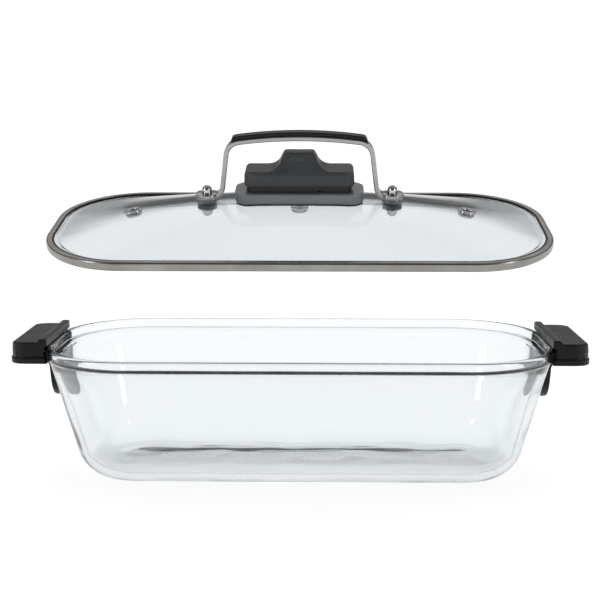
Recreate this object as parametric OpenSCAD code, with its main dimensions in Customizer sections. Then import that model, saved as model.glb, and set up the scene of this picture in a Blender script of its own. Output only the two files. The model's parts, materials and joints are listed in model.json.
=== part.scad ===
// Covered glass loaf dish.
// A clear glass dish with two slip-on end grips, and a domed glass lid with a steel rim,
// a bow handle and a sliding steam valve. Millimetres, +Z up, length along X.
// The origin is the centre of the dish's underside. The lid is drawn held above the dish,
// swung up about a far axis in front; swung back by lid_tilt it lies level in its recess.

/* [Dish] */
// Length over the glass rim, without the grips
rim_length = 300; // [270:1:330]
// Width over the glass rim
rim_width = 140; // [130:1:160]
// Corner radius of the rim in plan
rim_corner = 55; // [50:1:60]
// Height of the dish
dish_height = 79; // [70:1:90]
// Thickness of the glass wall and base
glass_wall = 4.5; // [3.5:0.1:6]
// Lean of the walls from vertical, in degrees
draft = 15; // [10:0.5:18]
// Outer radius where the wall turns into the base
foot_radius = 22; // [16:1:24]
// Height of the thick collar round the rim
collar_height = 6.5; // [6:0.5:9.5]
// How far the collar stands out from the wall
collar_proud = 2.3; // [1.5:0.1:4]
// Thickness of the collar's lip beside the lid
lip_wall = 4.4; // [3.5:0.1:5]
// Depth of the recess that the lid lies in
recess_depth = 5.5; // [4:0.1:7]
// Width of the ledge that carries the lid
ledge_width = 4.4; // [3:0.1:6]

/* [Lugs and grips] */
// Length of the glass lug beyond the rim
lug_reach = 16; // [12:1:20]
// Width of the glass lug
lug_width = 57; // [50:1:60]
// Thickness of the glass lug
lug_height = 6; // [5:0.1:7]
// Wall of the silicone grip round the lug
grip_wall = 3; // [2.5:0.1:4]
// How far the grip reaches in over the rim
grip_hook = 3.6; // [2:0.1:4]
// Length along X of the raised ridge that sits on the rim
ridge_length = 4.7; // [3:0.1:6]
// Height of that ridge above the grip's top
ridge_height = 2; // [1:0.1:3]
// Height of the bead round the grip's lower edge
bead_height = 3.3; // [2:0.1:4]
// Width of the tongue that keeps fingers off the hot wall
tongue_width = 44; // [34:1:50]
// How far the grip's outer end leans in towards its top
end_lean = 2.5; // [0:0.1:3]
// Depth of the tongue's tip below the rim
tongue_drop = 33; // [26:0.5:36]

/* [Lid] */
// Gap between the lid and the side of its recess
lid_gap = 1; // [0.6:0.1:2]
// Height of the steel rim band
band_height = 5.2; // [4.5:0.1:6]
// Width of the band's lips over and under the glass
band_lip = 3.6; // [3:0.1:4.4]
// Thickness of the band's sheet
band_sheet = 0.6; // [0.5:0.1:0.8]
// Rise of the glass dome above its flange
dome_rise = 17.5; // [12:0.5:22]
// Thickness of the lid glass
lid_glass_wall = 3.4; // [3:0.1:4]
// Distance of each steam vent from the middle
vent_x = 97; // [85:1:105]
// Swing of the lid above its seat as drawn, in degrees
lid_tilt = 13; // [0:1:20]
// Distance of the lid's swing axis in front of the dish's middle
swing_reach = 311; // [200:1:400]

/* [Bow handle] */
// Distance of each handle screw from the middle
screw_x = 53.5; // [50:0.5:56]
// Height of the steel bar's top above the lid's underside
bow_top = 58.4; // [54:0.1:62]
// Half the width over the legs, near the feet
bow_half = 45.6; // [44:0.1:46]
// Lean of each leg from vertical, in degrees
leg_lean = 7.5; // [4:0.5:9]
// Thickness of the steel bar
bar_thick = 2.8; // [2:0.1:3]
// Width of the steel bar
bar_width = 8; // [6:0.5:9]
// Radius of the bar's gentle arch
arch_radius = 265; // [200:5:400]
// Outer radius of the bow's corners
bow_corner = 10; // [8:0.5:12]
// Thickness of the black inlay on the bar
inlay_thick = 2.2; // [1.5:0.1:2.5]

/* [Steam valve] */
// Length of the sliding knob
knob_length = 63; // [55:1:64]
// Width of the sliding knob
knob_width = 22; // [20:1:24]
// Height of the knob with its finger fin
knob_height = 18.5; // [17:0.5:20]
// Height of the knob's shoulders
shoulder_height = 8.6; // [8:0.1:9]
// Half length of the fin at its top
fin_half = 8.6; // [8:0.1:9]
// Length of the fixed seat under the knob
seat_length = 74; // [70:1:76]
// Travel of the knob each way
slide_travel = 5; // [3:0.5:5.5]

/* [Hidden] */
$fn = 64;
eps = 0.01;
free_gap = 0.3;                         // between pieces that move on each other
core_x = rim_length/2 - rim_corner;     // centres of the plan's corner arcs,
core_y = rim_width/2 - rim_corner;      // shared by every ring of dish and lid
recess_floor = dish_height - recess_depth;
collar_bottom = dish_height - collar_height;

// Lid rings, as distances from the corner centres
band_r = rim_corner - lip_wall - lid_gap;
glass_r = band_r - band_sheet - 0.4;
flange_top = band_height - band_sheet - 0.4;
flange_bottom = band_sheet + 0.4;
dome_r = glass_r - band_lip - 1;
dome_a = core_x + dome_r;               // half length of the dome
dome_b = core_y + dome_r;               // half width of the dome
hollow_drop = lid_glass_wall + 0.1;     // inner dome below the outer one
hollow_inset = 3;
dome_oval = 0.8;                        // how far the dome's rings turn into ovals at the crown

washer_thick = 2.5;
foot_under = dome_z(screw_x) + washer_thick;
foot_top = foot_under + bar_thick;
seat_width = 27;
seat_top = dome_z(0) + 5.6;
gasket_thick = 3.2;
knob_z = seat_top + free_gap + gasket_thick;
stud_r = 3;
slot_half = slide_travel + stud_r + 0.9;
slot_r = stud_r + 0.4;
hollow_z = dome_z(0) - hollow_drop;     // glass underside at the middle

// Height of the dome's outer surface on the lid's long middle line
function dome_z(x) = flange_top + dome_rise*(1 - pow(x/dome_a, 2));
// Slope of that line, in degrees
function dome_slope(x) = atan(2*dome_rise*x/pow(dome_a, 2));
// Points on an arc in a plane
function arc(cx, cz, r, a0, a1, n=6) =
    [for (i = [0:n]) let (a = a0 + (a1 - a0)*i/n) [cx + r*cos(a), cz + r*sin(a)]];

// ---- shared shapes ----

// A rounded rectangle around the shared corner centres
module outline(r) {
    square([2*(core_x + r), 2*core_y], center=true);
    square([2*core_x, 2*(core_y + r)], center=true);
    for (x = [-core_x, core_x], y = [-core_y, core_y]) translate([x, y]) circle(r);
}

// A free-standing rounded rectangle
module rounded(length, width, r) {
    square([length, width - 2*r], center=true);
    square([length - 2*r, width], center=true);
    for (x = [-1, 1], y = [-1, 1])
        translate([x*(length/2 - r), y*(width/2 - r)]) circle(r);
}

// Carries a profile (distance from the corner centres, height) round the plan
module swept(points) {
    for (x = [-1, 1], y = [-1, 1])
        translate([x*core_x, y*core_y, 0])
            rotate([0, 0, x > 0 ? (y > 0 ? 0 : 270) : (y > 0 ? 90 : 180)])
                rotate_extrude(angle=90) polygon(points);
    for (s = [0, 180]) {
        rotate([0, 0, s]) translate([core_x, 0, 0]) rotate([90, 0, 0])
            linear_extrude(2*core_y, center=true) polygon(points);
        rotate([0, 0, s]) translate([0, core_y, 0]) rotate([90, 0, 90])
            linear_extrude(2*core_x, center=true) polygon(points);
    }
}

// ---- dish ----

wall_out = rim_corner - collar_proud;   // wall just under the collar
// Distance of the outer wall from the corner centres at height z
function wall_r(z) = wall_out - (collar_bottom - 1 - z)*tan(draft);
foot_c = wall_r(foot_radius) - foot_radius/cos(draft);
throat_r = rim_corner - lip_wall - ledge_width;
// Height at which the leaning inner wall meets the upright throat
throat_z = collar_bottom - 1 - (wall_out - glass_wall/cos(draft) - throat_r)/tan(draft);

module glass_dish() color("LightCyan", 0.5) {
    rim_round = 1.6;
    swept(concat(
        [[0, glass_wall], [0, 0]],
        arc(foot_c, foot_radius, foot_radius, -90, -draft, 10),
        arc(wall_out + 0.57, collar_bottom - 2, 0.8, 180 - draft, 90, 2),
        [[rim_corner - 1, collar_bottom]],
        arc(rim_corner - 1, collar_bottom + 1, 1, -90, 0, 3),
        arc(rim_corner - rim_round, dish_height - rim_round, rim_round, 0, 90, 4),
        arc(rim_corner - lip_wall + rim_round, dish_height - rim_round, rim_round, 90, 180, 4),
        [[rim_corner - lip_wall, recess_floor], [throat_r + 0.8, recess_floor]],
        arc(throat_r + 0.8, recess_floor - 0.8, 0.8, 90, 180, 2),
        [[throat_r, throat_z]],
        arc(foot_c, foot_radius, foot_radius - glass_wall, -draft, -90, 10)));
    translate([0, 0, glass_wall/2]) cube([2*core_x, 2*core_y, glass_wall], center=true);
    for (s = [0, 180]) rotate([0, 0, s]) lug(0);
}

// Solid lug at the right-hand end, grown by a clearance
module lug(grow) {
    x0 = rim_length/2 - 3;
    x1 = rim_length/2 + lug_reach;
    round_r = 8 + grow;
    w = lug_width/2 + grow;
    translate([0, 0, dish_height - lug_height - grow]) linear_extrude(lug_height + 2*grow) {
        translate([x0, -w]) square([x1 + grow - round_r - x0, 2*w]);
        translate([x0, round_r - w]) square([x1 + grow - x0, 2*(w - round_r)]);
        for (s = [-1, 1]) translate([x1 + grow - round_r, s*(w - round_r)]) circle(round_r);
    }
}

// Solid outer form of the dish grown by a clearance, which the grips are cut with
module dish_envelope(grow) {
    step_z = collar_bottom - 1.5;
    swept([[0, 0], [wall_r(0) + grow, 0], [wall_r(step_z) + grow, step_z],
        [rim_corner + grow, step_z], [rim_corner + grow, dish_height + grow],
        [0, dish_height + grow]]);
    linear_extrude(dish_height + grow) square([2*core_x + eps, 2*core_y + eps], center=true);
}

// ---- grips ----

grip_in = rim_length/2 - grip_hook;
grip_out = rim_length/2 + lug_reach + grip_wall + 0.4;
grip_half = lug_width/2 + grip_wall + free_gap;
grip_top = dish_height + grip_wall + free_gap;
grip_bottom = dish_height - lug_height - grip_wall - free_gap;

// Plan of the grip: square at the rim, its outer edge bowed and round-cornered
module grip_plan(grow) {
    edge_r = 9;
    bow = 1;
    w = grip_half + grow;
    polygon(concat(
        [[grip_in, w], [grip_in, -w]],
        arc(grip_out + grow - edge_r - bow, edge_r - w, edge_r, -90, -12, 5),
        [[grip_out + grow, -4], [grip_out + grow, 4]],
        arc(grip_out + grow - edge_r - bow, w - edge_r, edge_r, 12, 90, 5)));
}

// Silicone grip at the right-hand end
module grip() color([0.13, 0.14, 0.15]) {
    tip_z = dish_height - tongue_drop;
    tongue_x = core_x + wall_r(tip_z) + 7.5;
    bead_z = grip_bottom + bead_height;
    difference() {
        union() {
            intersection() {
                translate([0, 0, bead_z]) linear_extrude(grip_top - bead_z) grip_plan(0);
                rotate([90, 0, 0]) linear_extrude(4*grip_half, center=true)
                    polygon([[grip_in, bead_z], [grip_out, bead_z], [grip_out, bead_z + 1],
                        [grip_out - end_lean, grip_top], [grip_in, grip_top]]);
            }
            translate([0, 0, grip_bottom]) linear_extrude(bead_height) grip_plan(0.6);
            // raised ridge that lies on the rim
            translate([grip_in, 0, grip_top]) rotate([90, 0, 0])
                linear_extrude(2*grip_half, center=true)
                    polygon([[0, -1], [0, ridge_height - 0.5], [0.5, ridge_height],
                        [ridge_length - 0.5, ridge_height], [ridge_length + 1.2, 0],
                        [ridge_length + 1.2, -1]]);
            // tongue down the wall, as a side outline cut to a U
            intersection() {
                rotate([90, 0, 0]) linear_extrude(tongue_width, center=true)
                    polygon(concat(
                        [[tongue_x - 10, grip_bottom + 0.5], [tongue_x - 10, tip_z - 1.6]],
                        arc(tongue_x - 3, tip_z + 1.4, 3, -90, 0, 4),
                        [[tongue_x, grip_bottom - 4]],
                        arc(tongue_x + 4, grip_bottom - 4, 4, 180, 90, 4),
                        [[tongue_x + 4, grip_bottom + 0.5]]));
                translate([0, 0, tip_z - 1.6]) rotate([90, 0, 90]) linear_extrude(rim_length) {
                    translate([0, 17]) circle(17);
                    polygon([[-tongue_width/2, tongue_drop], [-16.5, 13],
                        [16.5, 13], [tongue_width/2, tongue_drop]]);
                }
            }
        }
        lug(free_gap);
        dish_envelope(0.4);
    }
}

module right_grip() grip();
module left_grip() rotate([0, 0, 180]) grip();

// ---- lid ----

// Swings the lid's own frame up about the far axis in front
module lid_frame() {
    translate([0, -swing_reach, recess_floor + free_gap]) rotate([lid_tilt, 0, 0])
        translate([0, swing_reach, 0]) children();
}

// The lid's outline at a plan scale, rounder towards the crown of the dome
function dome_ring(r, s) = [for (i = [0:47])
    let (a = 7.5*(i + 0.5), p = [sign(cos(a))*core_x + r*cos(a), sign(sin(a))*core_y + r*sin(a)],
        w = dome_oval*(1 - s*s), k = norm([p[0]/(core_x + r), p[1]/(core_y + r)]))
    s*(1 - w + w/k)*p];

// A dome over the lid's outline: its height falls with the square of the plan scale
module dome(r, base, rise) {
    levels = 12;
    hull() for (i = [0:levels]) {
        s = max(0.02, cos(90*i/levels));
        translate([0, 0, base + rise*(1 - s*s)]) linear_extrude(eps) polygon(dome_ring(r, s));
    }
}

// The space above the glass starts here
module dome_outside() dome(dome_r, flange_top - eps, dome_rise);

// The hollow under the glass
module dome_hollow() {
    translate([0, 0, -eps])
        dome(dome_r - hollow_inset, flange_bottom, dome_z(0) - hollow_drop - flange_bottom);
    translate([0, 0, -5]) linear_extrude(5 + flange_bottom) outline(dome_r - hollow_inset);
}

// Slot that the valve's stud slides in
module stud_slot(height) {
    linear_extrude(height) {
        square([2*(slot_half - slot_r), 2*slot_r], center=true);
        for (s = [-1, 1]) translate([s*(slot_half - slot_r), 0]) circle(slot_r);
    }
}

module lid_glass() lid_frame() color("Azure", 0.5) difference() {
    union() {
        translate([0, 0, flange_bottom]) linear_extrude(flange_top - flange_bottom) outline(glass_r);
        dome_outside();
    }
    dome_hollow();
    for (s = [-1, 1]) {
        at_dome(s*vent_x) cylinder(r=vent_barrel_r + 0.1, h=20, center=true);
        translate([s*screw_x, 0, 0]) cylinder(r=3, h=40);
    }
    stud_slot(40);
}

// Rolled steel channel round the glass edge
module lid_rim_band() lid_frame() color([0.62, 0.62, 0.61]) {
    r = 1.1;
    t = band_sheet;
    swept(concat(
        [[band_r - band_lip, 0]], arc(band_r - r, r, r, -90, 0, 3),
        arc(band_r - r, band_height - r, r, 0, 90, 3),
        [[band_r - band_lip, band_height], [band_r - band_lip, band_height - t]],
        arc(band_r - r, band_height - r, r - t, 90, 0, 2), arc(band_r - r, r, r - t, 0, -90, 2),
        [[band_r - band_lip, t]]));
}

// Silicone seal: a thin lining of the channel, with a bead along the band's inner edge
module lid_rim_seal() lid_frame() color([0.12, 0.13, 0.14]) {
    inner = band_r - band_lip;
    swept([[inner - 1, flange_top], [inner - 0.9, flange_top + 0.6], [inner - 0.5, flange_top + 0.9],
        [inner - 0.02, flange_top + 0.9], [inner - 0.02, flange_top + 0.3],
        [glass_r, flange_top + 0.3], [glass_r + 0.3, flange_top],
        [glass_r + 0.3, flange_bottom], [glass_r, flange_bottom - 0.3],
        [inner, flange_bottom - 0.3], [inner, flange_bottom], [glass_r, flange_bottom],
        [glass_r, flange_top]]);
}

// ---- steam vents ----

vent_barrel_r = 3;
vent_flange_r = 5.4;

// Stands something on the dome's middle line, square to the glass
module at_dome(x) translate([x, 0, dome_z(x)]) rotate([0, dome_slope(x), 0]) children();

// Steel eyelet rolled over both faces of the glass
module vent_eyelet(x) lid_frame() color("Silver") at_dome(x) {
    under = -lid_glass_wall - 0.75;
    bore_r = 2.3;
    rotate_extrude() polygon([[bore_r, under - 0.7], [4.6, under - 0.7], [4.8, under],
        [vent_barrel_r, under], [vent_barrel_r, 0.25], [vent_flange_r, 0.25], [vent_flange_r, 0.6],
        [4.6, 1], [3.4, 1.1], [bore_r + 0.2, 0.6], [bore_r, 0]]);
}

module left_vent_eyelet() vent_eyelet(-vent_x);
module right_vent_eyelet() vent_eyelet(vent_x);

// ---- bow handle ----

arch_c = [0, bow_top - arch_radius];
lean_dir = [-sin(leg_lean), cos(leg_lean)];
lean_out = [cos(leg_lean), sin(leg_lean)];
leg_base = [bow_half, foot_top + 4];
// Centre of the corner arc, touching both the arch and the leg
corner_from = leg_base - bow_corner*lean_out - arch_c;
corner_along = corner_from*lean_dir;
corner_c = leg_base - bow_corner*lean_out + lean_dir*(-corner_along
    + sqrt(pow(corner_along, 2) - corner_from*corner_from + pow(arch_radius - bow_corner, 2)));
corner_a = atan2(corner_c[1] - arch_c[1], corner_c[0] - arch_c[0]);
foot_bend = 4;
foot_bend_z = foot_top + foot_bend;
foot_bend_x = bow_half + (foot_bend - (foot_bend_z - leg_base[1])*sin(leg_lean))/cos(leg_lean);

// Right half of the bow's line at a depth below its outer face, from arch to foot
function bow_line(depth) = concat(
    arc(arch_c[0], arch_c[1], arch_radius - depth, 90, corner_a, 6),
    arc(corner_c[0], corner_c[1], bow_corner - depth, corner_a, leg_lean, 8),
    arc(foot_bend_x, foot_bend_z, foot_bend + depth, 180 + leg_lean, 270, 6),
    [[screw_x, foot_top - depth]]);
function reversed(p) = [for (i = [len(p) - 1:-1:0]) p[i]];
// A right-hand outline closed by its mirror image
function both_sides(p) = concat(p, [for (q = reversed(p)) [-q[0], q[1]]]);

module handle_bow() lid_frame() color([0.66, 0.66, 0.65]) difference() {
    union() {
        for (s = [0, 180]) rotate([90, 0, s]) linear_extrude(bar_width, center=true)
            polygon(concat(bow_line(0), reversed(bow_line(bar_thick))));
        for (s = [-1, 1]) translate([s*screw_x, 0, foot_under]) cylinder(r=6.8, h=bar_thick);
    }
    for (s = [-1, 1]) translate([s*screw_x, 0, foot_under - 1]) cylinder(r=2.2, h=bar_thick + 2);
}

// Black inlay along the top of the bar, turned down a little over each corner
module handle_inlay() lid_frame() color([0.08, 0.08, 0.09]) {
    end_a = 52;
    for (s = [0, 180]) rotate([90, 0, s]) linear_extrude(bar_width - 1, center=true)
        polygon(concat(
            arc(arch_c[0], arch_c[1], arch_radius, 90, corner_a, 6),
            arc(corner_c[0], corner_c[1], bow_corner, corner_a, end_a, 5),
            arc(corner_c[0], corner_c[1], bow_corner + 0.9, end_a, end_a, 1),
            arc(corner_c[0], corner_c[1], bow_corner + inlay_thick, end_a + 12, corner_a, 4),
            arc(arch_c[0], arch_c[1], arch_radius + inlay_thick, corner_a, 90, 6)));
}

// ---- handle fixings ----

lower_z = dome_z(screw_x) - lid_glass_wall - 2.2;   // underside of the lower washer

// Domed screw, from its head on the foot down into the cap nut
module handle_screw(x) lid_frame() color("Silver") translate([x, 0, foot_top]) rotate_extrude()
    polygon(concat([[0, lower_z - foot_top - 3], [1.9, lower_z - foot_top - 3], [1.9, 0], [3, 0]],
        arc(0, 1.6, 3, 0, 90, 6)));

module upper_washer(x) lid_frame() color([0.35, 0.36, 0.37]) difference() {
    translate([x, 0, foot_under - 4]) cylinder(r=6.2, h=4);
    dome_outside();
    translate([x, 0, foot_under - 5]) cylinder(r=2.2, h=6);
}

module lower_washer(x) lid_frame() color([0.35, 0.36, 0.37]) difference() {
    intersection() {
        translate([x, 0, lower_z]) cylinder(r=5.6, h=6);
        dome_hollow();
    }
    translate([x, 0, lower_z - 1]) cylinder(r=2.2, h=8);
}

module cap_nut(x) lid_frame() color("Silver") translate([x, 0, lower_z]) rotate_extrude()
    polygon(concat([[1.9, 0], [1.9, -3], [0, -3], [0, -4.6]], arc(0, -1.6, 3.2, -70, 0, 5), [[3.2, 0]]));

module left_handle_screw() handle_screw(-screw_x);
module right_handle_screw() handle_screw(screw_x);
module left_upper_washer() upper_washer(-screw_x);
module right_upper_washer() upper_washer(screw_x);
module left_lower_washer() lower_washer(-screw_x);
module right_lower_washer() lower_washer(screw_x);
module left_cap_nut() cap_nut(-screw_x);
module right_cap_nut() cap_nut(screw_x);

// ---- steam valve ----

seat_gasket_thick = 1;

// Fixed seat on the crown of the lid, its underside bedded on the gasket
module valve_seat() lid_frame() color([0.45, 0.46, 0.47]) difference() {
    translate([0, 0, seat_top - 10]) linear_extrude(10) rounded(seat_length, seat_width, 9);
    translate([0, 0, seat_gasket_thick]) dome_outside();
    stud_slot(seat_top + 10);
}

module valve_seat_gasket() lid_frame() color([0.15, 0.15, 0.16]) difference() {
    translate([0, 0, seat_top - 10]) linear_extrude(10) rounded(seat_length - 1, seat_width - 1, 8.5);
    translate([0, 0, seat_gasket_thick]) difference() {
        cube([2*seat_length, 2*seat_width, 80], center=true);
        dome_outside();
    }
    dome_outside();
    stud_slot(seat_top + 10);
}

// Sliding knob: shoulders swept up into a finger fin, cut from its end outline
module slider_knob() lid_frame() color([0.27, 0.28, 0.29]) translate([0, 0, knob_z]) difference() {
    sweep_r = 8;
    sweep_x = fin_half + 9.5;
    half = knob_length/2;
    intersection() {
        rotate([90, 0, 0]) linear_extrude(2*knob_width, center=true) polygon(both_sides(concat(
            [[half, 0]],
            arc(half - 2.5, shoulder_height - 2.2, 2.2, 8, 90, 4),
            arc(sweep_x, shoulder_height + sweep_r, sweep_r, -90, -168, 7),
            arc(fin_half - 1, knob_height - 1.2, 1.2, 15, 90, 3))));
        rotate([90, 0, 90]) linear_extrude(2*knob_length, center=true) polygon(both_sides(concat(
            [[knob_width/2, 0]],
            arc(knob_width/2 - 1.6, shoulder_height - 2.2, 1.6, 0, 50, 3),
            arc(3.6, knob_height - 1.2, 1.2, 30, 90, 3))));
        linear_extrude(2*knob_height) rounded(knob_length, knob_width, 5);
    }
    translate([0, 0, -1]) cylinder(r=stud_r + 0.05, h=7);
}

// Gasket under the knob; its groove lets steam out of the slot when the knob is slid over
module slider_gasket() lid_frame() color([0.1, 0.1, 0.11]) difference() {
    translate([0, 0, knob_z - gasket_thick]) linear_extrude(gasket_thick)
        rounded(knob_length - 3, knob_width - 3, 4);
    translate([0, 0, knob_z - 10]) cylinder(r=stud_r + 0.05, h=20);
    translate([slot_half + 1.3, -knob_width, knob_z - gasket_thick - 1]) cube([2.6, knob_width + 2, 2]);
}

slider_washer_top = hollow_z - 0.6;
slider_washer_thick = 1.4;
spring_thick = 1;
slider_nut_top = slider_washer_top - slider_washer_thick - spring_thick;

module slider_stud() lid_frame() color("Silver")
    translate([0, 0, slider_nut_top - 2]) cylinder(r=stud_r, h=knob_z + 5.9 - slider_nut_top + 2);

module slider_ring(top, thick, r) lid_frame() translate([0, 0, top - thick]) difference() {
    cylinder(r=r, h=thick);
    translate([0, 0, -1]) cylinder(r=stud_r + 0.05, h=thick + 2);
}

module slider_washer() color("Silver") slider_ring(slider_washer_top, slider_washer_thick, 7);
module slider_spring_washer() color([0.5, 0.5, 0.5])
    slider_ring(slider_washer_top - slider_washer_thick, spring_thick, 5);

// Mushroom-headed nut under the glass
module slider_nut() lid_frame() color("Silver") translate([0, 0, slider_nut_top]) rotate_extrude()
    polygon(concat([[stud_r + 0.05, 0], [stud_r + 0.05, -2], [0, -2], [0, -3.6]],
        arc(3.2, -1.6, 2, -90, 0, 4), [[5.2, -0.4], [4.8, 0]]));

glass_dish();
left_grip();
right_grip();
lid_glass();
lid_rim_band();
lid_rim_seal();
left_vent_eyelet();
right_vent_eyelet();
handle_bow();
handle_inlay();
left_handle_screw();
right_handle_screw();
left_upper_washer();
right_upper_washer();
left_lower_washer();
right_lower_washer();
left_cap_nut();
right_cap_nut();
valve_seat();
valve_seat_gasket();
slider_knob();
slider_gasket();
slider_stud();
slider_washer();
slider_spring_washer();
slider_nut();
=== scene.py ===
import json
import math
import bmesh
import bpy
from mathutils import Matrix, Vector


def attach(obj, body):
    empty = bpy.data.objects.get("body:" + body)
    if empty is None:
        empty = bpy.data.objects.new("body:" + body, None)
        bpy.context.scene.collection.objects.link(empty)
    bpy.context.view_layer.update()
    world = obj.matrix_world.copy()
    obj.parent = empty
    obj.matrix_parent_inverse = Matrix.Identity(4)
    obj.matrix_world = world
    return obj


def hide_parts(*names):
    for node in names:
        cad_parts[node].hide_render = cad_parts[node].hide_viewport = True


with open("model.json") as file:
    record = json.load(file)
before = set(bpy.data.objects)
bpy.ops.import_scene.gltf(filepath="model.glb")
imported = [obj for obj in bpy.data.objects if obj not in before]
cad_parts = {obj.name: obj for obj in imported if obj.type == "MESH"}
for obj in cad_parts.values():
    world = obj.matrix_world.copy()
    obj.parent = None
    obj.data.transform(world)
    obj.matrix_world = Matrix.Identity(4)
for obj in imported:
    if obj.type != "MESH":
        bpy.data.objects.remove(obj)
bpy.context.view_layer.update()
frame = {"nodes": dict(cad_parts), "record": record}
print("frame loaded:", len(frame["nodes"]), "nodes")

mm = 0.001
mergeWithin = 1e-6

# The plan that dish and lid share: quarter circles round four corner centres
plan = {
    "cornerX": 95 * mm,
    "cornerY": 15 * mm,
    "rimRadius": 55 * mm,
    "segments": 192,
    "endShare": 0.08,       # share of a quarter turn's points on half the short straight
    "sideShare": 0.36,      # and on half the long one
}

# The lid is modelled lying level at its seat height, then swung up as the CAD lid is
lift = next(j for j in frame["record"]["behaviour"]["joints"] if j["name"] == "lid_lift")
liftAxis = Vector(lift["pos_m"])
lidTilt = -math.radians(lift["range_deg"][0])
lidPlace = (Matrix.Translation(liftAxis) @ Matrix.Rotation(lidTilt, 4, "X")
            @ Matrix.Translation((0, -liftAxis.y, 0)))


def arcPoints(cx, cz, radius, fromDeg, toDeg, steps):
    angles = [math.radians(fromDeg + (toDeg - fromDeg) * i / steps) for i in range(steps + 1)]
    return [(cx + radius * math.cos(a), cz + radius * math.sin(a)) for a in angles]


def ringPoint(angle, radius, height, scale, oval=0):
    # a point on the shared plan: half a short straight, a quarter circle and half a long straight;
    # with oval at 1 it lies on an ellipse instead
    turn = math.atan2(abs(math.sin(angle)), abs(math.cos(angle))) / (math.pi / 2)
    bend = (turn - plan["endShare"]) / (1 - plan["endShare"] - plan["sideShare"])
    arc = min(max(bend, 0), 1) * math.pi / 2
    along = plan["cornerX"] * min(1, (1 - turn) / plan["sideShare"])
    across = plan["cornerY"] * min(1, turn / plan["endShare"])
    x = math.copysign(along + radius * math.cos(arc), math.cos(angle))
    y = math.copysign(across + radius * math.sin(arc), math.sin(angle))
    beyond = math.hypot(x / (plan["cornerX"] + radius), y / (plan["cornerY"] + radius))
    grow = scale * (1 - oval + oval / beyond)
    return Vector((x * grow, y * grow, height))


def loft(rings, closed):
    # carries one ring on to the next; the ends are joined, or else capped
    bm = bmesh.new()
    verts = bmesh.ops.create_circle(bm, segments=plan["segments"], radius=1)["verts"]
    halfStep = math.pi / plan["segments"]
    angles = {v: math.atan2(v.co.y, v.co.x) + halfStep for v in verts}
    for v, angle in angles.items():
        v.co = ringPoint(angle, *rings[0])
    edges = bm.edges[:]
    if not closed:
        bmesh.ops.contextual_create(bm, geom=edges)
    for ring in rings[1:] + (rings[:1] if closed else []):
        made = bmesh.ops.extrude_edge_only(bm, edges=edges)["geom"]
        edges = [g for g in made if isinstance(g, bmesh.types.BMEdge)]
        fresh = {}
        for v in [g for g in made if isinstance(g, bmesh.types.BMVert)]:
            fresh[v] = next(angles[e.other_vert(v)] for e in v.link_edges
                            if e.other_vert(v) in angles)
        for v, angle in fresh.items():
            v.co = ringPoint(angle, *ring)
        angles = fresh
    if closed:
        bmesh.ops.remove_doubles(bm, verts=bm.verts, dist=mergeWithin)
    else:
        bmesh.ops.contextual_create(bm, geom=edges)
    bmesh.ops.recalc_face_normals(bm, faces=bm.faces)
    return bm


def lathe(profile, steps=48):
    # turns a profile of (radius, height) about Z
    bm = bmesh.new()
    verts = [bm.verts.new((r, 0, z)) for r, z in profile]
    edges = [bm.edges.new(pair) for pair in zip(verts, verts[1:])]
    bmesh.ops.spin(bm, geom=verts + edges, cent=(0, 0, 0), axis=(0, 0, 1),
                   angle=math.tau, steps=steps, use_merge=True, use_duplicate=False)
    bmesh.ops.remove_doubles(bm, verts=bm.verts, dist=mergeWithin)
    bmesh.ops.recalc_face_normals(bm, faces=bm.faces)
    return bm


def cadCopy(node):
    # a merged copy of a CAD node's mesh
    bm = bmesh.new()
    bm.from_mesh(frame["nodes"][node].data)
    bm.transform(frame["nodes"][node].matrix_world)
    bmesh.ops.remove_doubles(bm, verts=bm.verts, dist=mergeWithin)
    return bm


def finishPiece(name, bm, body, node, material, sharpDeg=40):
    mesh = bpy.data.meshes.new(name)
    bm.to_mesh(mesh)
    bm.free()
    mesh.polygons.foreach_set("use_smooth", [True] * len(mesh.polygons))
    mesh.set_sharp_from_angle(angle=math.radians(sharpDeg))
    mesh.materials.append(material)
    piece = bpy.data.objects.new(name, mesh)
    bpy.context.collection.objects.link(piece)
    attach(piece, body)
    if node:
        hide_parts(node)
    return piece


def applyModifiers(piece):
    shaped = piece.evaluated_get(bpy.context.evaluated_depsgraph_get())
    mesh = bpy.data.meshes.new_from_object(shaped)
    piece.modifiers.clear()
    piece.data = mesh
    return piece


def soften(piece, voxel, rounds):
    # remeshes finely and relaxes, which rounds every edge as a moulded part's are
    remesh = piece.modifiers.new("remesh", "REMESH")
    remesh.mode = "VOXEL"
    remesh.voxel_size = voxel
    remesh.use_smooth_shade = True
    relax = piece.modifiers.new("relax", "SMOOTH")
    relax.factor = 0.5
    relax.iterations = rounds
    applyModifiers(piece)
    piece.data.polygons.foreach_set("use_smooth", [True] * len(piece.data.polygons))
    return piece


noiseRange = (0.3, 0.7)   # where most of a noise's values lie


def newMaterial(name):
    material = bpy.data.materials.new(name)
    material.use_nodes = True
    nodes = material.node_tree.nodes
    return material, nodes, material.node_tree.links, nodes["Principled BSDF"]


def addNode(nodes, kind, **values):
    node = nodes.new(kind)
    for key, value in values.items():
        if key in node.inputs:
            node.inputs[key].default_value = value
        else:
            setattr(node, key, value)
    return node


def objectNoise(nodes, links, scale, detail=3, stretch=(1, 1, 1), turn=(0, 0, 0)):
    coord = addNode(nodes, "ShaderNodeTexCoord")
    mapping = addNode(nodes, "ShaderNodeMapping", Scale=stretch, Rotation=turn)
    noise = addNode(nodes, "ShaderNodeTexNoise", Scale=scale, Detail=detail)
    links.new(coord.outputs["Object"], mapping.inputs["Vector"])
    links.new(mapping.outputs["Vector"], noise.inputs["Vector"])
    return noise


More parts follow.
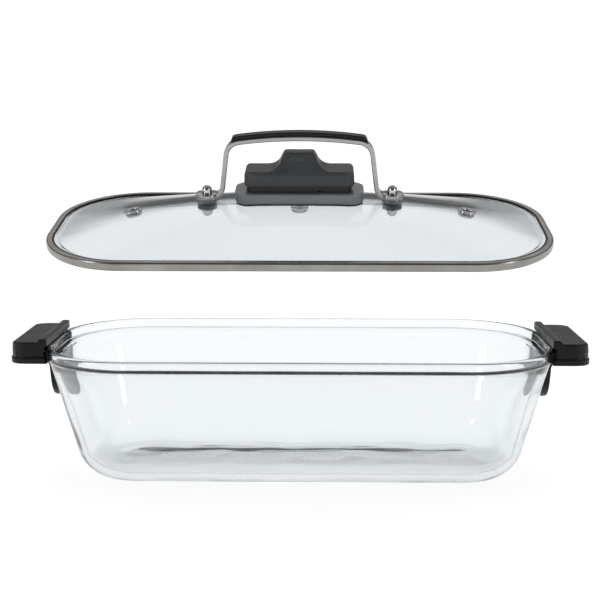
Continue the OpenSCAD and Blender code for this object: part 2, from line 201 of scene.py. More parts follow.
def remap(nodes, links, source, low, high):
    span = addNode(nodes, "ShaderNodeMapRange")
    span.inputs["From Min"].default_value = noiseRange[0]
    span.inputs["From Max"].default_value = noiseRange[1]
    span.inputs["To Min"].default_value = low
    span.inputs["To Max"].default_value = high
    links.new(source, span.inputs["Value"])
    return span.outputs["Result"]


def bumpFrom(nodes, links, source, shader, strength, distance):
    bump = addNode(nodes, "ShaderNodeBump", Strength=strength, Distance=distance)
    links.new(source, bump.inputs["Height"])
    links.new(bump.outputs["Normal"], shader.inputs["Normal"])


def fillRamp(ramp, stops, tint=(1, 1, 1)):
    ends = ramp.color_ramp.elements
    ends[0].position, ends[1].position = stops[0][0], stops[-1][0]
    for place, shade in stops[1:-1]:
        ends.new(place)
    for element, (place, shade) in zip(ends, stops):
        element.color = tuple(shade * c for c in tint) + (1,)


glass = {
    "ior": 1.5,
    # painted shade: a clear face greys where it turns away from the view, standing in for the dark
    # edges and lines that refraction gives: (how far it is turned, shade)
    "edgeShadeStops": ((0.0, 1.0), (0.60, 0.98), (0.72, 0.86), (0.81, 0.45), (0.92, 0.2), (1.0, 0.06)),
    "tint": (0.985, 0.995, 1.0),
    "smearScale": 60,
    "smearRoughness": 0.012,
    "waveScale": 26,
    "waveDepth": 2 * mm,
}


def glassMaterial(name, body, density, waviness):
    material, nodes, links, shader = newMaterial(name)
    # painted shade: the base colour darkens as the face turns away from the view
    turned = addNode(nodes, "ShaderNodeLayerWeight", Blend=0.5)
    ramp = addNode(nodes, "ShaderNodeValToRGB")
    fillRamp(ramp, glass["edgeShadeStops"], glass["tint"])
    links.new(turned.outputs["Facing"], ramp.inputs["Fac"])
    links.new(ramp.outputs["Color"], shader.inputs["Base Color"])
    shader.inputs["Transmission Weight"].default_value = 1.0
    shader.inputs["IOR"].default_value = glass["ior"]
    smear = objectNoise(nodes, links, glass["smearScale"], 2)
    links.new(remap(nodes, links, smear.outputs["Fac"], 0.0, glass["smearRoughness"]),
              shader.inputs["Roughness"])
    if waviness:
        waves = objectNoise(nodes, links, glass["waveScale"], 1)
        bumpFrom(nodes, links, waves.outputs["Fac"], shader, waviness, glass["waveDepth"])
    # thick glass and edges look darker, as the light goes further through them
    absorb = addNode(nodes, "ShaderNodeVolumeAbsorption", Color=(*body, 1), Density=density)
    links.new(absorb.outputs["Volume"], nodes["Material Output"].inputs["Volume"])
    return material


steel = {
    "brushScale": 900,
    "brushDepth": 0.2 * mm,
    "brushShades": (0.88, 1.05),
    "cloudScale": 45,
    # painted reflection: brownish cloudy patches darken the steel at random, standing in for the
    # reflections on it
    "reflectionMottle": (0.62, 0.59, 0.56, 1),
    "roughnessSpread": (0.85, 1.2),
}


def steelMaterial(name, shade, roughness, stretch, turn=(0, 0, 0), grain=0.06, reflectionMottleShare=0.12):
    material, nodes, links, shader = newMaterial(name)
    shader.inputs["Metallic"].default_value = 1.0
    brush = objectNoise(nodes, links, steel["brushScale"], 4, stretch, turn)
    cloud = objectNoise(nodes, links, steel["cloudScale"], 2)
    ramp = addNode(nodes, "ShaderNodeValToRGB")
    fillRamp(ramp, tuple(zip(noiseRange, steel["brushShades"])), shade)
    links.new(brush.outputs["Fac"], ramp.inputs["Fac"])
    # painted reflection: a low cloud multiplies in brownish patches, standing in for the varying
    # reflections on the steel
    reflectionMottle = addNode(nodes, "ShaderNodeMix", data_type="RGBA", blend_type="MULTIPLY")
    reflectionMottle.inputs["B"].default_value = steel["reflectionMottle"]
    links.new(remap(nodes, links, cloud.outputs["Fac"], 0.0, reflectionMottleShare * 2), reflectionMottle.inputs["Factor"])
    links.new(ramp.outputs["Color"], reflectionMottle.inputs["A"])
    links.new(reflectionMottle.outputs["Result"], shader.inputs["Base Color"])
    low, high = [roughness * k for k in steel["roughnessSpread"]]
    links.new(remap(nodes, links, cloud.outputs["Fac"], low, high), shader.inputs["Roughness"])
    bumpFrom(nodes, links, brush.outputs["Fac"], shader, grain, steel["brushDepth"])
    return material


moulded = {
    "grainDepth": 0.1 * mm,
    "cloudScale": 70,
    "cloudShades": (0.9, 1.1),
    "roughnessSpread": (0.92, 1.08),
    "sheenRoughness": 0.4,
}


def mouldedMaterial(name, shade, roughness, grainScale, grain, gloss=0.35, sheen=0.0, clear=0.0):
    material, nodes, links, shader = newMaterial(name)
    fine = objectNoise(nodes, links, grainScale, 2)
    cloud = objectNoise(nodes, links, moulded["cloudScale"], 3)
    ramp = addNode(nodes, "ShaderNodeValToRGB")
    fillRamp(ramp, tuple(zip(noiseRange, moulded["cloudShades"])), shade)
    links.new(cloud.outputs["Fac"], ramp.inputs["Fac"])
    links.new(ramp.outputs["Color"], shader.inputs["Base Color"])
    low, high = [roughness * k for k in moulded["roughnessSpread"]]
    links.new(remap(nodes, links, cloud.outputs["Fac"], low, high), shader.inputs["Roughness"])
    bumpFrom(nodes, links, fine.outputs["Fac"], shader, grain, moulded["grainDepth"])
    shader.inputs["Specular IOR Level"].default_value = gloss
    shader.inputs["Sheen Weight"].default_value = sheen
    shader.inputs["Sheen Roughness"].default_value = moulded["sheenRoughness"]
    shader.inputs["Transmission Weight"].default_value = clear
    return material


levelTurn = (-lidTilt, 0, 0)   # turns a pattern back into the lid's own level frame
dishGlass = glassMaterial("dishGlass", (0.58, 0.65, 0.70), 38, 0.6)
lidGlass = glassMaterial("lidGlass", (0.35, 0.41, 0.46), 92, 0)
# the band gets the strongest painted reflection patches
bandSteel = steelMaterial("bandSteel", (0.32, 0.315, 0.305), 0.26, (0.03, 0.03, 1), levelTurn,
                          reflectionMottleShare=0.3)
bowSteel = steelMaterial("bowSteel", (0.38, 0.38, 0.375), 0.22, (0.04, 1, 1), levelTurn)
brightSteel = steelMaterial("brightSteel", (0.55, 0.55, 0.56), 0.12, (1, 1, 1), grain=0.02)
gripSilicone = mouldedMaterial("gripSilicone", (0.0030, 0.0035, 0.0043), 0.40, 1500, 0.12, 0.22)
sealSilicone = mouldedMaterial("sealSilicone", (0.012, 0.013, 0.015), 0.38, 1500, 0.1)
knobPlastic = mouldedMaterial("knobPlastic", (0.046, 0.049, 0.052), 0.46, 2200, 0.16, 0.35, 0.02)
markPlastic = mouldedMaterial("markPlastic", (0.16, 0.165, 0.17), 0.4, 1800, 0.1)
seatPlastic = mouldedMaterial("seatPlastic", (0.30, 0.325, 0.36), 0.12, 1800, 0.05, 0.5, clear=0.5)
washerPlastic = mouldedMaterial("washerPlastic", (0.30, 0.32, 0.35), 0.2, 1800, 0.05, 0.5,
                                clear=0.6)
inlayBlack = mouldedMaterial("inlayBlack", (0.008, 0.008, 0.009), 0.34, 1500, 0.08, 0.25)
print("materials made")


dish = {
    "height": 79 * mm,
    "wall": 4.5 * mm,
    "draftDeg": 15,
    "footRadius": 22 * mm,
    "collarHeight": 6.5 * mm,
    "collarProud": 2.3 * mm,
    "lipWall": 4.4 * mm,
    "recess": 5.5 * mm,
    "ledge": 4.4 * mm,
    "lugTip": 166 * mm,
    "lugHalf": 28.5 * mm,
    "lugLow": 73 * mm,
    "lugFacing": 0.75,          # how squarely a collar face looks outwards to be drawn into a lug
    "lugFrom": 140 * mm,
    "middle": 0.4 * mm,         # the rings stop this near the corner centres
    # the underside's shallow recess: (in from the foot's arc, height)
    "recessSteps": ((-14.5 * mm, 0.66 * mm), (-9 * mm, 0.45 * mm), (-4.5 * mm, 0.15 * mm)),
    "recessDepth": 0.7 * mm,
    "outerLevels": (24, 34, 44, 54, 62),        # heights of the wall's rings, in mm
    "innerLevels": (56, 48, 38, 28),
    "neck": 1 * mm,             # the wall ends this far below the collar
    "neckRound": 0.6 * mm,
    "lipRound": 1.8 * mm,
    "collarLow": 1.5 * mm,
    "innerLipRound": 1.5 * mm,
    "ledgeRound": 0.6 * mm,
    "throatRound": 2.1 * mm,
}


def dishProfile():
    # (distance from the corner centres, height), from the underside's middle to the inner floor's
    draft = math.radians(dish["draftDeg"])
    collarZ = dish["height"] - dish["collarHeight"]
    wallTop = plan["rimRadius"] - dish["collarProud"]
    wallEnd = collarZ - dish["neck"]
    across = dish["wall"] / math.cos(draft)

    def wallAt(z):
        return wallTop - (wallEnd - z) * math.tan(draft)

    foot = dish["footRadius"]
    footC = wallAt(foot) - foot / math.cos(draft)
    throat = plan["rimRadius"] - dish["lipWall"] - dish["ledge"]
    throatZ = wallEnd - (wallTop - across - throat) / math.tan(draft)
    lipOut = plan["rimRadius"]
    lipIn = lipOut - dish["lipWall"]
    top = dish["height"]
    seat = top - dish["recess"]
    points = [(dish["middle"], dish["recessDepth"])]
    points += [(footC + inward, z) for inward, z in dish["recessSteps"]]
    points += arcPoints(footC, foot, foot, -90, -dish["draftDeg"], 20)
    points += [(wallAt(z * mm), z * mm) for z in dish["outerLevels"]]
    neck = dish["neckRound"]
    points += arcPoints(wallTop + neck, collarZ - 0.9 * mm, neck, 180 - dish["draftDeg"], 100, 5)
    lip = dish["lipRound"]
    points += arcPoints(lipOut - lip, collarZ + dish["collarLow"], lip, -86, 0, 12)
    points += [(lipOut, top - 3 * mm)]
    points += arcPoints(lipOut - lip, top - lip, lip, 0, 90, 8)
    inner = dish["innerLipRound"]
    points += arcPoints(lipIn + inner, top - inner, inner, 90, 180, 8)
    ledge = dish["ledgeRound"]
    points += arcPoints(lipIn - ledge, seat + ledge, ledge, 0, -90, 6)
    drop = dish["throatRound"]
    points += arcPoints(throat + drop, seat - drop, drop, 90, 180, 12)
    points += [(throat, throatZ + 2 * mm)]
    points += [(wallAt(z * mm) - across, z * mm) for z in dish["innerLevels"]]
    points += arcPoints(footC, foot, foot - dish["wall"], -dish["draftDeg"], -90, 20)
    points += [(footC / 2, dish["wall"]), (dish["middle"], dish["wall"])]
    return points


def makeDish():
    bm = loft([(r, z, 1.0) for r, z in dishProfile()], closed=False)
    # the lugs are drawn out of the collar's end faces
    for side in (-1, 1):
        faces = [f for f in bm.faces
                 if f.calc_center_median().x * side > dish["lugFrom"]
                 and abs(f.calc_center_median().y) < dish["lugHalf"]
                 and f.normal.x * side > dish["lugFacing"]
                 and dish["lugLow"] < f.calc_center_median().z < dish["height"] - 1.9 * mm]
        drawn = bmesh.ops.extrude_face_region(bm, geom=faces)["geom"]
        verts = [g for g in drawn if isinstance(g, bmesh.types.BMVert)]
        for v in verts:
            v.co.x = side * dish["lugTip"]
        bmesh.ops.delete(bm, geom=faces, context="FACES")
    bmesh.ops.recalc_face_normals(bm, faces=bm.faces)
    return finishPiece("glassDish", bm, "dish", "glass_dish", dishGlass, 50)


makeDish()
print("dish made")


grip = {"voxel": 0.45 * mm, "rounds": 3}


def makeGrip(side):
    piece = finishPiece(side + "Grip", cadCopy(side + "_grip"), side + "_grip", side + "_grip",
                        gripSilicone)
    soften(piece, grip["voxel"], grip["rounds"])


for side in ("left", "right"):
    makeGrip(side)
print("grips made")


lid = {
    "bandRadius": 49.6 * mm,
    "bandHeight": 5.2 * mm,
    "bandLip": 3.6 * mm,
    "sheet": 0.6 * mm,
    "glassRadius": 48.6 * mm,
    "flangeTop": 4.2 * mm,
    "flangeLow": 1.0 * mm,
    "domeRadius": 44.0 * mm,
    "domeRise": 17.5 * mm,
    "glassWall": 3.4 * mm,
    "ventX": 97 * mm,
    "ventBore": 3.1 * mm,
    "screwX": 53.5 * mm,
    "screwHole": 3.0 * mm,
    "slotHalf": 8.9 * mm,
    "slotRadius": 3.4 * mm,
    "cutterLength": 30 * mm,
    "levels": 36,               # rings from the dome's edge to its crown
    "crownShare": 0.012,        # the last ring's size, as a share of the first
    "innerStep": 2.6 * mm,      # the inner dome starts this far inside the outer one
    "bandBend": 1.3 * mm,
    "hem": 0.3 * mm,
    "sealWall": 0.36 * mm,
    "sealGap": 0.04 * mm,
}
domeHalf = plan["cornerX"] + lid["domeRadius"]


def domeZ(x):
    return lid["flangeTop"] + lid["domeRise"] * (1 - (x / domeHalf) ** 2)


def domeSlope(x):
    return math.atan(2 * lid["domeRise"] * x / domeHalf ** 2)


def domeRing(radius, base, rise, s):
    # an oval at the crown that grows into the rounded plan at the edge
    return radius, base + rise * (1 - s * s), s, 1 - s ** 4


def onDome(x):
    return lidPlace @ Matrix.Translation((x, 0, domeZ(x))) @ Matrix.Rotation(domeSlope(x), 4, "Y")


def makeLidGlass():
    steps = [math.pi / 2 * i / lid["levels"] for i in range(1, lid["levels"] + 1)]
    scales = [max(lid["crownShare"], math.cos(step)) for step in steps]
    inner = lid["domeRadius"] - lid["innerStep"]
    edgeRound = (lid["flangeTop"] - lid["flangeLow"]) / 2
    edgeZ = (lid["flangeTop"] + lid["flangeLow"]) / 2
    innerRise = domeZ(0) - lid["glassWall"] - lid["flangeLow"]
    rings = [domeRing(inner, lid["flangeLow"], innerRise, s) for s in reversed(scales)]
    rings += [(inner, lid["flangeLow"] + 0.05 * mm, 1.0)]
    rings += [(inner + 1.2 * mm, lid["flangeLow"], 1.0)]
    rings += [(r, z, 1.0) for r, z
              in arcPoints(lid["glassRadius"] - edgeRound, edgeZ, edgeRound, -90, 90, 10)]
    rings += [(lid["domeRadius"] + 0.8 * mm, lid["flangeTop"], 1.0),
              (lid["domeRadius"], lid["flangeTop"] + 0.12 * mm, 1.0)]
    rings += [domeRing(lid["domeRadius"], lid["flangeTop"], lid["domeRise"], s) for s in scales]
    bm = loft(rings, closed=False)
    bm.transform(lidPlace)
    piece = finishPiece("lidGlass", bm, "lid", "lid_glass", lidGlass, 60)
    cutter = bmesh.new()

    def addPlug(radius):
        made = bmesh.ops.create_cone(cutter, cap_ends=True, segments=32, radius1=radius,
                                     radius2=radius, depth=lid["cutterLength"])
        return made["verts"]

    for sx in (-1, 1):
        for x, radius in ((lid["ventX"], lid["ventBore"]), (lid["screwX"], lid["screwHole"])):
            bmesh.ops.transform(cutter, matrix=onDome(sx * x), verts=addPlug(radius))
    bmesh.ops.recalc_face_normals(cutter, faces=cutter.faces)
    slot = addPlug(lid["slotRadius"])
    for v in slot:
        v.co.x += math.copysign(lid["slotHalf"] - lid["slotRadius"], v.co.x)
    bmesh.ops.transform(cutter, matrix=onDome(0), verts=slot)
    cutterMesh = bpy.data.meshes.new("holes")
    cutter.to_mesh(cutterMesh)
    cutter.free()
    holes = bpy.data.objects.new("holes", cutterMesh)
    bpy.context.collection.objects.link(holes)
    cut = piece.modifiers.new("holes", "BOOLEAN")
    cut.operation = "DIFFERENCE"
    cut.solver = "EXACT"
    cut.object = holes
    applyModifiers(piece)
    bpy.data.objects.remove(holes)
    return piece


def makeRimBand():
    outer, height, sheet = lid["bandRadius"], lid["bandHeight"], lid["sheet"]
    lipEnd = outer - lid["bandLip"]
    bend, hem = lid["bandBend"], lid["hem"]
    profile = arcPoints(outer - bend, bend, bend, -90, 0, 6)
    profile += arcPoints(outer - bend, height - bend, bend, 0, 90, 6)
    profile += arcPoints(lipEnd + hem, height - hem, hem, 90, 270, 4)
    profile += arcPoints(outer - bend, height - bend, bend - sheet, 90, 0, 4)
    profile += arcPoints(outer - bend, bend, bend - sheet, 0, -90, 4)
    profile += arcPoints(lipEnd + hem, hem, hem, 90, 270, 4)
    bm = loft([(r, z, 1.0) for r, z in profile], closed=True)
    bm.transform(lidPlace)
    return finishPiece("lidRimBand", bm, "lid", "lid_rim_band", bandSteel)


def makeRimSeal():
    inner = lid["bandRadius"] - lid["bandLip"]
    top, low = lid["flangeTop"], lid["flangeLow"]
    edge = lid["glassRadius"]
    wall, gap = lid["sealWall"], lid["sealGap"]
    # the bead that shows beside the band's lip, then the channel round the glass's edge
    profile = arcPoints(inner - 0.5 * mm, top + 0.35 * mm, 0.55 * mm, 200, 60, 6)
    profile += [(inner - 0.05 * mm, top + wall), (edge + 0.3 * mm, top + wall),
                (edge + wall, top), (edge + wall, low), (edge + 0.3 * mm, low - wall),
                (inner, low - wall), (inner, low - gap), (edge + gap / 2, low - gap),
                (edge + gap / 2, top + gap), (inner, top + gap)]
    bm = loft([(r, z, 1.0) for r, z in profile], closed=True)
    bm.transform(lidPlace)
    return finishPiece("lidRimSeal", bm, "lid", "lid_rim_seal", sealSilicone)


makeLidGlass()
makeRimBand()
makeRimSeal()
print("lid glass, band and seal made")


vent = {
    "bore": 2.3 * mm,
    "barrel": 3.0 * mm,
    "flange": 5.4 * mm,
    "lowFlange": 4.8 * mm,
    "mouthRound": 0.9 * mm,
    "rimRound": 0.6 * mm,
    "sitAbove": 0.1 * mm,
    "sitBelow": 0.75 * mm,
}


def makeEyelet(side, x):
    under = -lid["glassWall"] - vent["sitBelow"]
    mouth, rim, sit = vent["mouthRound"], vent["rimRound"], vent["sitAbove"]
    profile = [(vent["bore"], under - 0.5 * mm)]
    profile += arcPoints(vent["bore"] + mouth, 0.2 * mm, mouth, 180, 90, 5)
    profile += arcPoints(vent["flange"] - rim, 0.5 * mm, rim, 90, 0, 5)
    profile += [(vent["flange"], sit), (vent["barrel"], sit), (vent["barrel"], under),
                (vent["lowFlange"], under), (vent["lowFlange"] - 0.2 * mm, under - 0.6 * mm),
                (vent["bore"], under - 0.5 * mm)]
    bm = lathe(profile)
    bm.transform(onDome(x))
    finishPiece(side + "VentEyelet", bm, "lid", side + "_vent_eyelet", brightSteel)


for side, x in (("left", -lid["ventX"]), ("right", lid["ventX"])):
    makeEyelet(side, x)
print("vents made")


bow = {
    "top": 58.4 * mm,
    "legHalf": 45.6 * mm,
    "leanDeg": 7.5,
    "thick": 2.8 * mm,
    "width": 8 * mm,
    "archRadius": 265 * mm,
    "corner": 10 * mm,
    "footBend": 4 * mm,
    "footRadius": 6.8 * mm,
    "washer": 2.5 * mm,
    "inlay": 2.2 * mm,
    "inlayEndDeg": 55,
    "inlayNarrower": 1 * mm,
    "inlayRound": 0.8 * mm,
    "inlayEndSteps": 8,
    "thinFrom": 3,              # after this many of those steps the inlay thins down onto the bar
    "thinStep": 0.16,
    "legHeight": 4 * mm,        # legHalf is taken this high above the feet
    "barRound": 0.7 * mm,
    "footHole": 1.9 * mm,
    "footRound": 0.5 * mm,
}
footUnder = domeZ(lid["screwX"]) + bow["washer"]
footTop = footUnder + bow["thick"]


def bowGeometry():
    # centres of the bow's arcs in its own plane, (x, z), and where each arc ends
    lean = math.radians(bow["leanDeg"])
    along = Vector((-math.sin(lean), math.cos(lean)))
    outward = Vector((math.cos(lean), math.sin(lean)))
    archC = Vector((0, bow["top"] - bow["archRadius"]))
    legBase = Vector((bow["legHalf"], footTop + bow["legHeight"]))
    fromArch = legBase - bow["corner"] * outward - archC
    # the corner's centre lies up the leg, where its arc touches the arch from inside
    t = fromArch.dot(along)
    reach = bow["archRadius"] - bow["corner"]
    up = -t + math.sqrt(t * t - fromArch.dot(fromArch) + reach * reach)
    cornerC = archC + fromArch + along * up
    archEnd = math.atan2(cornerC.y - archC.y, cornerC.x - archC.x)
    bend = bow["footBend"]
    bendZ = footTop + bend
    bendX = bow["legHalf"] + (bend - (bendZ - legBase.y) * math.sin(lean)) / math.cos(lean)
    return archC, cornerC, archEnd, Vector((bendX, bendZ)), lean


archC, cornerC, archEnd, bendC, leanRad = bowGeometry()


def barSection(bm, lowZ, thick, width, radius):
    # a round-cornered bar section in the YZ plane at x = 0, as a closed loop of edges
    halfY, low, high = width / 2 - radius, lowZ + radius, lowZ + thick - radius
    corners = [(halfY, high, 0), (-halfY, high, 90), (-halfY, low, 180), (halfY, low, 270)]
    points = [p for y, z, start in corners for p in arcPoints(y, z, radius, start, start + 90, 4)]
    verts = [bm.verts.new((0, y, z)) for y, z in points]
    edges = [bm.edges.new(pair) for pair in zip(verts, verts[1:] + verts[:1])]
    return verts + edges


def spinOn(bm, geom, centre, angle, steps):
    # carries the open end of the bar round a centre in the XZ plane
    made = bmesh.ops.spin(bm, geom=geom, cent=(centre.x, 0, centre.y), axis=(0, 1, 0),
                          angle=angle, steps=steps, use_merge=False, use_duplicate=False)
    return made["geom_last"]


def pushOn(bm, geom, step):
    edges = [g for g in geom if isinstance(g, bmesh.types.BMEdge)]
    made = bmesh.ops.extrude_edge_only(bm, edges=edges)["geom"]
    verts = [g for g in made if isinstance(g, bmesh.types.BMVert)]
    bmesh.ops.translate(bm, verts=verts, vec=step)
    return [g for g in made if not isinstance(g, bmesh.types.BMFace)]


def mirrorHalf(bm, end):
    # caps the open end and mirrors the half that is drawn across the bow's middle
    bmesh.ops.contextual_create(bm, geom=[g for g in end if isinstance(g, bmesh.types.BMEdge)])
    bmesh.ops.mirror(bm, geom=bm.verts[:] + bm.edges[:] + bm.faces[:], axis="X",
                     merge_dist=mergeWithin)
    bmesh.ops.recalc_face_normals(bm, faces=bm.faces)


def makeBow():
    bm = bmesh.new()
    end = barSection(bm, bow["top"] - bow["thick"], bow["thick"], bow["width"], bow["barRound"])
    end = spinOn(bm, end, archC, math.pi / 2 - archEnd, 12)
    end = spinOn(bm, end, cornerC, archEnd - leanRad, 16)
    # down the leg to the start of the foot's bend
    outward = Vector((math.cos(leanRad), math.sin(leanRad)))
    legTop = cornerC + bow["corner"] * outward
    legEnd = bendC - bow["footBend"] * outward
    end = pushOn(bm, end, (legEnd.x - legTop.x, 0, legEnd.y - legTop.y))
    end = spinOn(bm, end, bendC, -(math.pi / 2 - leanRad), 12)
    end = pushOn(bm, end, (lid["screwX"] - bendC.x, 0, 0))
    mirrorHalf(bm, end)
    hole, rim = bow["footHole"], bow["footRound"]
    flat = bow["footRadius"] - rim
    for sx in (-1, 1):
        foot = lathe([(hole, 0), (flat, 0)] + arcPoints(flat, rim, rim, -60, 0, 3)
                     + arcPoints(flat, bow["thick"] - rim, rim, 0, 90, 4)
                     + [(hole, bow["thick"]), (hole, 0)])
        foot.transform(Matrix.Translation((sx * lid["screwX"], 0, footUnder)))
        mesh = bpy.data.meshes.new("foot")
        foot.to_mesh(mesh)
        foot.free()
        bm.from_mesh(mesh)
        bpy.data.meshes.remove(mesh)
    bm.transform(lidPlace)
    return finishPiece("handleBow", bm, "lid", "handle_bow", bowSteel)


def makeInlay():
    bm = bmesh.new()
    end = barSection(bm, bow["top"], bow["inlay"], bow["width"] - bow["inlayNarrower"],
                     bow["inlayRound"])
    end = spinOn(bm, end, archC, math.pi / 2 - archEnd, 12)
    endAngle = math.radians(bow["inlayEndDeg"])
    for i in range(bow["inlayEndSteps"]):
        end = spinOn(bm, end, cornerC, (archEnd - endAngle) / bow["inlayEndSteps"], 1)
        if i > bow["thinFrom"]:
            shrink = 1 - bow["thinStep"] * (i - bow["thinFrom"])
            for v in [g for g in end if isinstance(g, bmesh.types.BMVert)]:
                out = Vector((v.co.x - cornerC.x, v.co.z - cornerC.y))
                over = out.length - bow["corner"]
                thin = out.normalized() * (bow["corner"] + over * shrink)
                v.co.x, v.co.z = cornerC.x + thin.x, cornerC.y + thin.y
    mirrorHalf(bm, end)
    bm.transform(lidPlace)
    return finishPiece("handleInlay", bm, "lid", "handle_inlay", inlayBlack)


makeBow()
makeInlay()
print("bow made")


screw = {
    "headRadius": 3.0 * mm,
    "headRise": 4.6 * mm,
    "headChamfer": 0.2 * mm,
    "shank": 1.9 * mm,
    "below": 5.2 * mm,          # the shank reaches this far below the glass
}
washer = {"radius": 6.2 * mm, "hole": 2.2 * mm, "lowRound": 0.5 * mm, "topRound": 0.7 * mm}


def makeScrew(side, x):
    headR = screw["headRadius"]
    end = domeZ(lid["screwX"]) - lid["glassWall"] - screw["below"] - footTop
    profile = [(0, end), (screw["shank"], end), (screw["shank"], 0),
               (headR - screw["headChamfer"], 0), (headR, 0.25 * mm)]
    profile += arcPoints(0, screw["headRise"] - headR, headR, 0, 90, 10)[:-1]
    profile += [(0, screw["headRise"])]
    bm = lathe(profile, 40)
    bm.transform(lidPlace @ Matrix.Translation((x, 0, footTop)))
    finishPiece(side + "HandleScrew", bm, "lid", side + "_handle_screw", brightSteel,
                30)


def makeUpperWasher(side, x):
    # its underside leans with the dome
    rise, radius, hole = bow["washer"], washer["radius"], washer["hole"]
    low, top = washer["lowRound"], washer["topRound"]
    profile = [(hole, -rise)] + arcPoints(radius - low, low - rise, low, -90, 0, 3)
    profile += arcPoints(radius - top, -top, top, 0, 90, 4)
    profile += [(hole, 0), (hole, -rise)]
    bm = lathe(profile, 48)
    lean = math.tan(domeSlope(x))
    for v in bm.verts:
        if v.co.z < -rise / 2:
            v.co.z -= v.co.x * lean
    bm.transform(lidPlace @ Matrix.Translation((x, 0, footUnder)))
    finishPiece(side + "UpperWasher", bm, "lid", side + "_upper_washer", washerPlastic)


for side, x in (("left", -lid["screwX"]), ("right", lid["screwX"])):
    makeScrew(side, x)
    makeUpperWasher(side, x)
print("screws and washers made")


knob = {"voxel": 0.3 * mm, "rounds": 40}
seat = {"voxel": 0.4 * mm, "rounds": 8}


def makeLevel(name, body, node, material, softness):
    # softened while it lies level, so that the voxels line up with its flat faces
    bm = cadCopy(node)
    bm.transform(lidPlace.inverted())
    piece = finishPiece(name, bm, body, node, material)
    soften(piece, softness["voxel"], softness["rounds"])
    piece.data.transform(lidPlace)


mark = {
    "centre": (0, -6.65 * mm, 44.8 * mm),
    "leanDeg": 63.4,
    "line": ((-8.2, -3.0), (-2.4, 2.6)),    # the ends of the slanted line, in mm
    "waves": 3,
    "waveStart": -0.9,
    "waveStep": 1.4,
    "waveHeight": 3.4,
    "waveSwing": 0.28,
    "waveLift": 0.4,
    "tube": 0.17 * mm,
}


def makeMark():
    # a slanted line and steam waves stand a hair above the fin's front face
    curve = bpy.data.curves.new("knobMark", "CURVE")
    curve.dimensions = "3D"
    curve.bevel_depth = mark["tube"]
    curve.bevel_resolution = 2
    strokes = [mark["line"]]
    for i in range(mark["waves"]):
        x = mark["waveStart"] + mark["waveStep"] * i
        strokes.append([(x + mark["waveSwing"] * math.sin(k * math.pi / 4),
                         mark["waveHeight"] * (k / 8 - 0.5) + mark["waveLift"])
                        for k in range(9)])
    for stroke in strokes:
        spline = curve.splines.new("POLY")
        spline.points.add(len(stroke) - 1)
        for point, (x, z) in zip(spline.points, stroke):
            point.co = (x * mm, z * mm, 0, 1)
    drawn = bpy.data.objects.new("knobMark", curve)
    bm = bmesh.new()
    bm.from_mesh(drawn.to_mesh())
    bpy.data.objects.remove(drawn)
    bpy.data.curves.remove(curve)
    bm.transform(lidPlace @ Matrix.Translation(mark["centre"])
                 @ Matrix.Rotation(math.radians(mark["leanDeg"]), 4, "X"))
    finishPiece("knobMark", bm, "steam_slider", None, markPlastic)


makeLevel("sliderKnob", "steam_slider", "slider_knob", knobPlastic, knob)
makeMark()
makeLevel("valveSeat", "lid", "valve_seat", seatPlastic, seat)
print("valve made")

# the CAD nodes that stay as they are
kept = {
    "left_lower_washer": washerPlastic,
    "right_lower_washer": washerPlastic,
    "left_cap_nut": brightSteel,
    "right_cap_nut": brightSteel,
    "valve_seat_gasket": sealSilicone,
    "slider_gasket": sealSilicone,
    "slider_stud": brightSteel,
    "slider_washer": brightSteel,
    "slider_spring_washer": brightSteel,
    "slider_nut": brightSteel,
}
for name, material in kept.items():
    node = frame["nodes"][name]
    for slot in node.material_slots:
        slot.material = material


studio = {
    "floorSize": 14.0,
    "floorGlow": 0.76,
    "skyStrength": 1.05,
    # shades over height and over depth: 0 is straight down or behind the camera,
    # 1 straight up or ahead
    "skyStops": ((0.0, 1.0), (0.555, 1.0), (0.60, 0.3), (0.67, 0.12), (0.73, 0.3),
                 (0.79, 0.95), (0.87, 0.95), (0.93, 0.6), (1.0, 0.7)),
    "depthStops": ((0.0, 0.12), (0.3, 0.25), (0.5, 0.6), (0.80, 0.9), (0.92, 1.0)),
    "sensor": 36,
    "focal": 69,
    "distance": 0.695,
    "elevationDeg": 11.26,
    "azimuthDeg": -1.1,
    "shiftUp": 38.5 / 600,      # the dish's rim stands this far below the middle of the view
    "lights": (
        # name, place, what it faces, size, watts, seen in gloss
        ("topSoftbox", (0, 0.15, 1.3), (0, 0, 0), (1.4, 0.8), 2.5, False),
        ("frontSoftbox", (-0.5, -1.6, 0.9), (0, 0, 0.08), (1.2, 0.8), 1.2, False),
        ("leftStrip", (-1.0, -0.75, 0.45), (0, 0, 0.1), (0.2, 0.9), 3.5, True),
        ("rightStrip", (1.0, -0.75, 0.45), (0, 0, 0.1), (0.2, 0.9), 3.5, True),
    ),
}


def makeFloor():
    bm = bmesh.new()
    bmesh.ops.create_grid(bm, x_segments=1, y_segments=1, size=studio["floorSize"] / 2)
    mesh = bpy.data.meshes.new("floor")
    bm.to_mesh(mesh)
    bm.free()
    material, _, _, shader = newMaterial("paleFloor")
    shader.inputs["Base Color"].default_value = (0.9, 0.9, 0.9, 1)
    shader.inputs["Roughness"].default_value = 0.9
    shader.inputs["Specular IOR Level"].default_value = 0.0
    shader.inputs["Emission Color"].default_value = (1, 1, 1, 1)
    shader.inputs["Emission Strength"].default_value = studio["floorGlow"]
    mesh.materials.append(material)
    floor = bpy.data.objects.new("floor", mesh)
    bpy.context.collection.objects.link(floor)
    # the softboxes leave the floor out, so its paleness stays even
    skipped = bpy.data.collections.new("unlit")
    skipped.objects.link(floor)
    skipped.collection_objects[0].light_linking.link_state = "EXCLUDE"
    return skipped


def makeLight(unlit, name, place, target, size, watts, glossy):
    data = bpy.data.lights.new(name, "AREA")
    data.shape = "RECTANGLE"
    data.size, data.size_y = size
    data.energy = watts
    light = bpy.data.objects.new(name, data)
    light.visible_glossy, light.visible_transmission = glossy, False
    light.light_linking.receiver_collection = unlit
    light.location = place
    light.rotation_euler = (Vector(target) - Vector(place)).to_track_quat("-Z", "Y").to_euler()
    bpy.context.collection.objects.link(light)


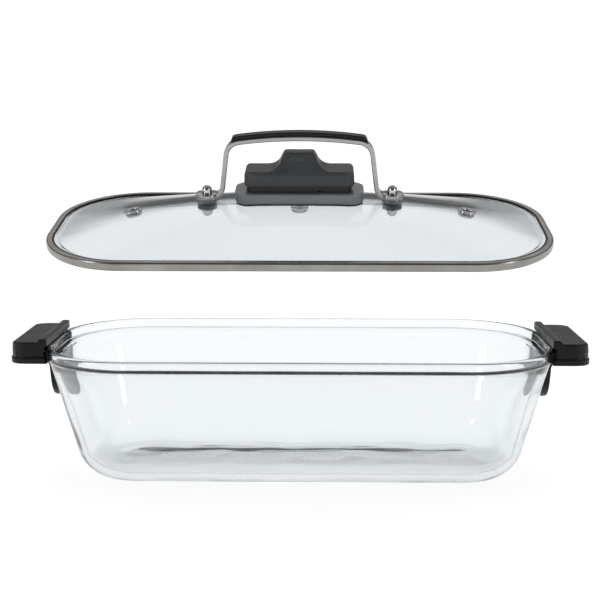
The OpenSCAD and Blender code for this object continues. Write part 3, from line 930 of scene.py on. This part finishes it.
def makeWorld():
    world = bpy.data.worlds.new("studioWorld")
    world.use_nodes = True
    nodes, links = world.node_tree.nodes, world.node_tree.links
    coord = addNode(nodes, "ShaderNodeTexCoord")
    split = addNode(nodes, "ShaderNodeSeparateXYZ")
    links.new(coord.outputs["Generated"], split.inputs["Vector"])
    shades = []
    for axis, stops in (("Z", studio["skyStops"]), ("Y", studio["depthStops"])):
        ramp = addNode(nodes, "ShaderNodeValToRGB")
        fillRamp(ramp, stops)
        shift = addNode(nodes, "ShaderNodeMapRange")
        shift.inputs["From Min"].default_value = -1
        links.new(split.outputs[axis], shift.inputs["Value"])
        links.new(shift.outputs["Result"], ramp.inputs["Fac"])
        shades.append(ramp.outputs["Color"])
    blend = addNode(nodes, "ShaderNodeMix", data_type="RGBA", blend_type="MULTIPLY")
    blend.inputs["Factor"].default_value = 1
    links.new(shades[0], blend.inputs["A"])
    links.new(shades[1], blend.inputs["B"])
    # the sky itself shows plain white, and only its light and reflections have these shades
    path = addNode(nodes, "ShaderNodeLightPath")
    plain = addNode(nodes, "ShaderNodeMix", data_type="RGBA")
    plain.inputs["B"].default_value = (1, 1, 1, 1)
    links.new(path.outputs["Is Camera Ray"], plain.inputs["Factor"])
    links.new(blend.outputs["Result"], plain.inputs["A"])
    links.new(plain.outputs["Result"], nodes["Background"].inputs["Color"])
    nodes["Background"].inputs["Strength"].default_value = studio["skyStrength"]
    bpy.context.scene.world = world


def makeCamera():
    data = bpy.data.cameras.new("camera")
    data.lens = studio["focal"]
    data.sensor_width = studio["sensor"]
    data.clip_start = 0.01
    camera = bpy.data.objects.new("camera", data)
    target = Vector((0, 0, dish["height"]))
    azimuth = math.radians(studio["azimuthDeg"])
    elevation = math.radians(studio["elevationDeg"])
    back = Vector((-math.sin(azimuth) * math.cos(elevation),
                   -math.cos(azimuth) * math.cos(elevation), math.sin(elevation)))
    camera.location = target + back * studio["distance"]
    camera.rotation_euler = (-back).to_track_quat("-Z", "Y").to_euler()
    data.shift_y = studio["shiftUp"]
    bpy.context.collection.objects.link(camera)
    bpy.context.scene.camera = camera


unlit = makeFloor()
makeWorld()
for light in studio["lights"]:
    makeLight(unlit, *light)
makeCamera()
bpy.context.scene.view_settings.view_transform = "Standard"
print("studio made")
